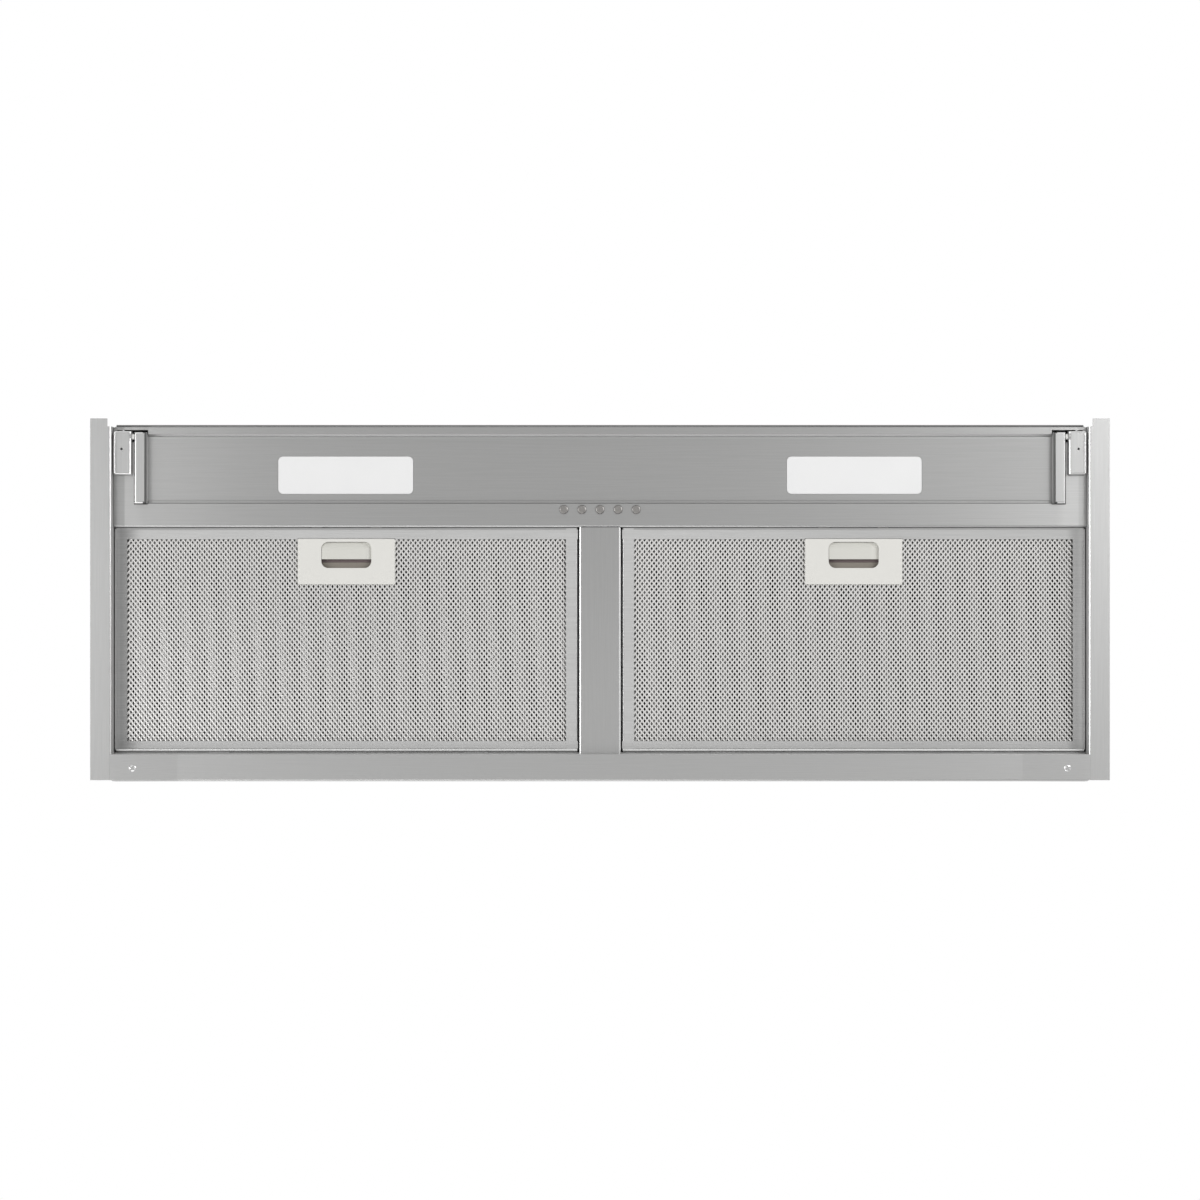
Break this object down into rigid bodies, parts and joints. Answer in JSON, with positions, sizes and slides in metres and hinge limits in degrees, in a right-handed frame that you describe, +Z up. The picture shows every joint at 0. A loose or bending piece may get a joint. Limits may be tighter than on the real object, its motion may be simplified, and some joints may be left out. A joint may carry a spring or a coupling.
{
  "type": "built-in range hood",
  "caption": "Built-in canopy range hood in brushed steel with hinged grease filters, hinged lamp flap, push buttons, centrifugal fan and duct outlet.",
  "frame": {"origin": "middle of the plane of the side flanges' lower faces, halfway over the width and depth", "axes": "+X to the right and -Y to the front as one stands at the cooker, +Z up"},
  "size_m": [0.898, 0.32, 0.29],
  "materials": {
    "brushed_steel": "brushed along the hood's width",
    "galvanised_sheet": "plain zinc-coated sheet",
    "screw_steel": "bright zinc plating",
    "lamp_diffuser": "frosted white",
    "lamp_board": "white board",
    "button_metal": "satin plated",
    "mesh_aluminium": "raw expanded mesh",
    "handle_plastic": "fine moulded texture",
    "black_plastic": "moulded",
    "grey_plastic": "moulded",
    "white_plastic": "moulded",
    "motor_shell": "semi-gloss enamel"
  },
  "bodies": {
    "hood": {"side_panel_left": "brushed_steel", "side_panel_right": "brushed_steel", "top_shell": "galvanised_sheet", "front_panel": "brushed_steel", "front_divider": "galvanised_sheet", "centre_bar": "brushed_steel", "rear_strip": "brushed_steel", "strip_screws": "screw_steel", "rear_ledges": "galvanised_sheet", "hinge_brackets": "brushed_steel", "hinge_pins": "white_plastic", "switch_block": "black_plastic", "fan_housing": "galvanised_sheet", "housing_screws": "screw_steel", "scroll_left": "grey_plastic", "scroll_right": "grey_plastic", "inlet_rings": "galvanised_sheet", "motor": "motor_shell", "motor_bracket": "galvanised_sheet", "outlet_collar": "grey_plastic", "damper_pin": "screw_steel", "control_box": "galvanised_sheet", "box_cover": "galvanised_sheet", "capacitor": "white_plastic", "cable_gland": "black_plastic"},
    "lamp_flap_body": {"lamp_flap": "brushed_steel", "flap_arms": "brushed_steel", "lamp_lens_left": "lamp_diffuser", "lamp_lens_right": "lamp_diffuser", "lamp_housing_left": "galvanised_sheet", "lamp_housing_right": "galvanised_sheet", "lamp_board_left": "lamp_board", "lamp_board_right": "lamp_board"},
    "filter_left": {"filter_frame_left": "brushed_steel", "filter_mesh_left": "mesh_aluminium", "filter_handle_left": "handle_plastic"},
    "filter_right": {"filter_frame_right": "brushed_steel", "filter_mesh_right": "mesh_aluminium", "filter_handle_right": "handle_plastic"},
    "latch_left": {"filter_latch_left": "handle_plastic"},
    "latch_right": {"filter_latch_right": "handle_plastic"},
    "fan_wheel": {"impeller": "black_plastic"},
    "damper_leaf_front": {"damper_front": "grey_plastic"},
    "damper_leaf_rear": {"damper_rear": "grey_plastic"},
    "push_button_1": {"button_1": "button_metal"},
    "push_button_2": {"button_2": "button_metal"},
    "push_button_3": {"button_3": "button_metal"},
    "push_button_4": {"button_4": "button_metal"},
    "push_button_5": {"button_5": "button_metal"}
  },
  "joints": [
    {"name": "lamp_flap_hinge", "type": "hinge", "parent": "hood", "child": "lamp_flap_body", "pos_m": [0, -0.1443, 0.0065], "axis": [-1, 0, 0], "range_deg": [0, 80]},
    {"name": "filter_hinge_left", "type": "hinge", "parent": "hood", "child": "filter_left", "pos_m": [-0.2243, 0.131, 0.013], "axis": [1, 0, 0], "range_deg": [0, 80]},
    {"name": "latch_slide_left", "type": "slide", "parent": "filter_left", "child": "latch_left", "axis": [0, 1, 0], "range_m": [0, 0.0032], "stiffness_N_per_m": 400, "springref_m": -0.001},
    {"name": "filter_hinge_right", "type": "hinge", "parent": "hood", "child": "filter_right", "pos_m": [0.2243, 0.131, 0.013], "axis": [1, 0, 0], "range_deg": [0, 80]},
    {"name": "latch_slide_right", "type": "slide", "parent": "filter_right", "child": "latch_right", "axis": [0, 1, 0], "range_m": [0, 0.0032], "stiffness_N_per_m": 400, "springref_m": -0.001},
    {"name": "button_1_push", "type": "slide", "parent": "hood", "child": "push_button_1", "axis": [0, 0, 1], "range_m": [0, 0.0025], "stiffness_N_per_m": 300, "springref_m": -0.001},
    {"name": "button_2_push", "type": "slide", "parent": "hood", "child": "push_button_2", "axis": [0, 0, 1], "range_m": [0, 0.0025], "stiffness_N_per_m": 300, "springref_m": -0.001},
    {"name": "button_3_push", "type": "slide", "parent": "hood", "child": "push_button_3", "axis": [0, 0, 1], "range_m": [0, 0.0025], "stiffness_N_per_m": 300, "springref_m": -0.001},
    {"name": "button_4_push", "type": "slide", "parent": "hood", "child": "push_button_4", "axis": [0, 0, 1], "range_m": [0, 0.0025], "stiffness_N_per_m": 300, "springref_m": -0.001},
    {"name": "button_5_push", "type": "slide", "parent": "hood", "child": "push_button_5", "axis": [0, 0, 1], "range_m": [0, 0.0025], "stiffness_N_per_m": 300, "springref_m": -0.001},
    {"name": "fan_spin", "type": "hinge", "parent": "hood", "child": "fan_wheel", "pos_m": [0, 0.0465, 0.154], "axis": [1, 0, 0], "continuous": true},
    {"name": "damper_front_swing", "type": "hinge", "parent": "hood", "child": "damper_leaf_front", "pos_m": [0, -0.00486, 0.265], "axis": [-1, 0, 0], "range_deg": [0, 80]},
    {"name": "damper_rear_swing", "type": "hinge", "parent": "hood", "child": "damper_leaf_rear", "pos_m": [0, -0.00486, 0.265], "axis": [1, 0, 0], "range_deg": [0, 80]}
  ]
}
